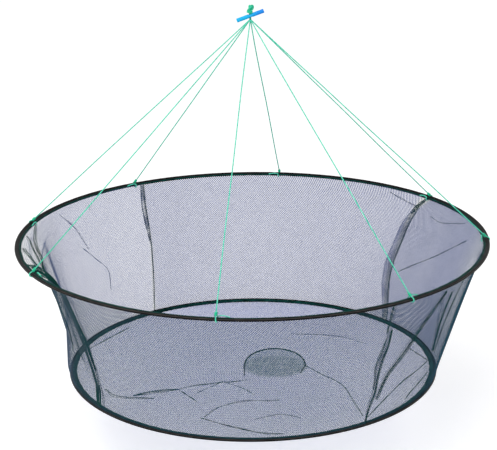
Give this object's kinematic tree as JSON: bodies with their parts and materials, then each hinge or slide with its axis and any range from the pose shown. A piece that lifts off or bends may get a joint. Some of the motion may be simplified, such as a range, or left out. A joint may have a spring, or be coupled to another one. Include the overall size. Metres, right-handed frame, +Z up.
{
  "type": "folding crab trap",
  "caption": "Folding crab trap: open conical net on two sprung hoops, with a bait pocket on its floor, hung from a cord bridle with a toggle bar.",
  "frame": {"origin": "haul point: the top of the knot that gathers the bridle", "axes": "+Z up along the bridle's middle, away from the trap; +X right and +Y away, as seen from the front"},
  "size_m": [0.805, 0.805, 0.6324],
  "materials": {
    "spring_steel": "drawn spring wire",
    "ferrule_steel": "crimped",
    "tape": "black woven tape",
    "net": "dark green knotless mesh",
    "drawcord": "dark braided cord",
    "cord": "mint green twisted twine",
    "toggle": "blue moulded plastic"
  },
  "bodies": {
    "bridle_head": {"apex_knot": "cord", "gathered_cords": "cord", "bridle_leg_1": "cord", "bridle_leg_2": "cord", "bridle_leg_3": "cord", "bridle_leg_4": "cord", "bridle_leg_5": "cord", "bridle_leg_6": "cord", "bridle_leg_7": "cord", "bridle_leg_8": "cord"},
    "toggle": {"toggle_bar": "toggle"},
    "upper_frame": {"top_hoop_wire": "spring_steel", "top_hoop_ferrule": "ferrule_steel", "top_hoop_sleeve": "tape", "wall_net_1": "net", "bridle_hitch_1": "cord", "bridle_hitch_2": "cord", "bridle_hitch_3": "cord", "bridle_hitch_4": "cord", "bridle_hitch_5": "cord", "bridle_hitch_6": "cord", "bridle_hitch_7": "cord", "bridle_hitch_8": "cord"},
    "wall_2": {"wall_net_2": "net"},
    "wall_3": {"wall_net_3": "net"},
    "wall_4": {"wall_net_4": "net"},
    "lower_frame": {"bottom_hoop_wire": "spring_steel", "bottom_hoop_ferrule": "ferrule_steel", "bottom_hoop_sleeve": "tape", "floor_rolled_edge": "net", "floor_net": "net", "bait_pocket_base": "net", "wall_net_5": "net"},
    "pocket": {"bait_pocket_net": "net", "bait_pocket_drawcord": "drawcord"}
  },
  "joints": [
    {"name": "toggle_swivel", "type": "hinge", "parent": "bridle_head", "child": "toggle", "pos_m": [0, 0, -0.019], "axis": [0, 0, 1], "continuous": true},
    {"name": "bridle_slack", "type": "slide", "parent": "bridle_head", "child": "upper_frame", "axis": [0, 0, 1], "range_m": [0, 0.3], "deforming": ["bridle_leg_1", "bridle_leg_2", "bridle_leg_3", "bridle_leg_4", "bridle_leg_5", "bridle_leg_6", "bridle_leg_7", "bridle_leg_8"]},
    {"name": "net_collapse", "type": "slide", "parent": "upper_frame", "child": "lower_frame", "axis": [0, 0, 1], "range_m": [0, 0.232]},
    {"name": "wall_2_rise", "type": "slide", "parent": "upper_frame", "child": "wall_2", "axis": [0, 0, 1], "range_m": [0, 0.058]},
    {"name": "wall_3_rise", "type": "slide", "parent": "upper_frame", "child": "wall_3", "axis": [0, 0, 1], "range_m": [0, 0.116]},
    {"name": "wall_4_rise", "type": "slide", "parent": "upper_frame", "child": "wall_4", "axis": [0, 0, 1], "range_m": [0, 0.174]},
    {"name": "pocket_open", "type": "hinge", "parent": "lower_frame", "child": "pocket", "pos_m": [0.038, -0.063, -0.62948], "axis": [1, 0, 0], "range_deg": [0, 25]}
  ],
  "couplings": [
    {"joint": "wall_2_rise", "follows": "net_collapse", "ratio": 0.25},
    {"joint": "wall_3_rise", "follows": "net_collapse", "ratio": 0.5},
    {"joint": "wall_4_rise", "follows": "net_collapse", "ratio": 0.75}
  ]
}
